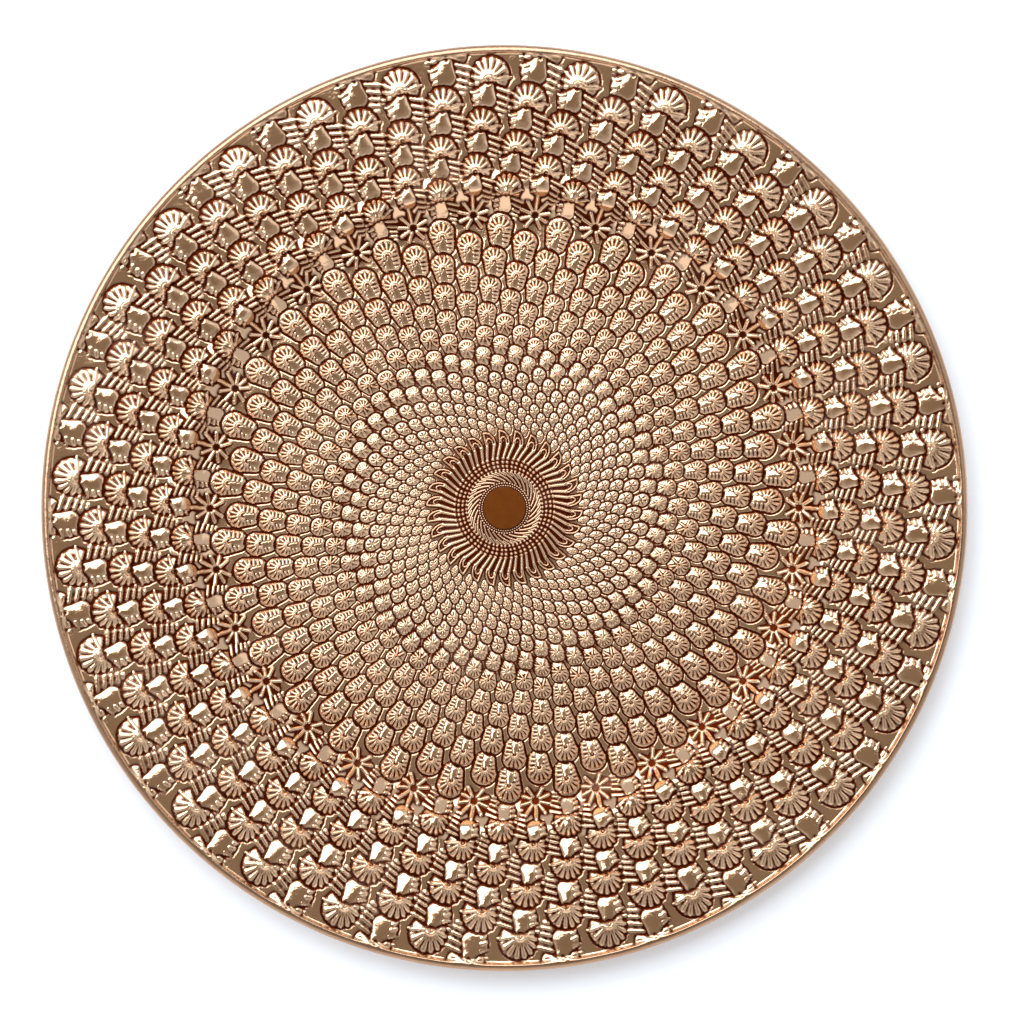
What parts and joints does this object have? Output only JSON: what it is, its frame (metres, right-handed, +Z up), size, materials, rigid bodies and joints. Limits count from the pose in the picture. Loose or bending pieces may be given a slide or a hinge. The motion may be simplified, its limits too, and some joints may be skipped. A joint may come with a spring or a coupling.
{
  "type": "round copper tray",
  "caption": "Round shallow serving tray of embossed copper sheet, with a flat well, a sloping cove and a wide rim rolled round a wire.",
  "frame": {"origin": "middle of the tray's underside, in the plane it stands on", "axes": "+Z up out of the open well, along the axis the tray is turned about; +X and +Y across the tray"},
  "size_m": [0.33, 0.33, 0.0127],
  "materials": {
    "copper_sheet": "polished copper, embossed",
    "steel_wire": "drawn wire",
    "dark_copper": "satin, darkened copper"
  },
  "bodies": {
    "root": {"tray_sheet": "copper_sheet", "rim_wire": "steel_wire", "centre_disc": "dark_copper"}
  },
  "joints": []
}
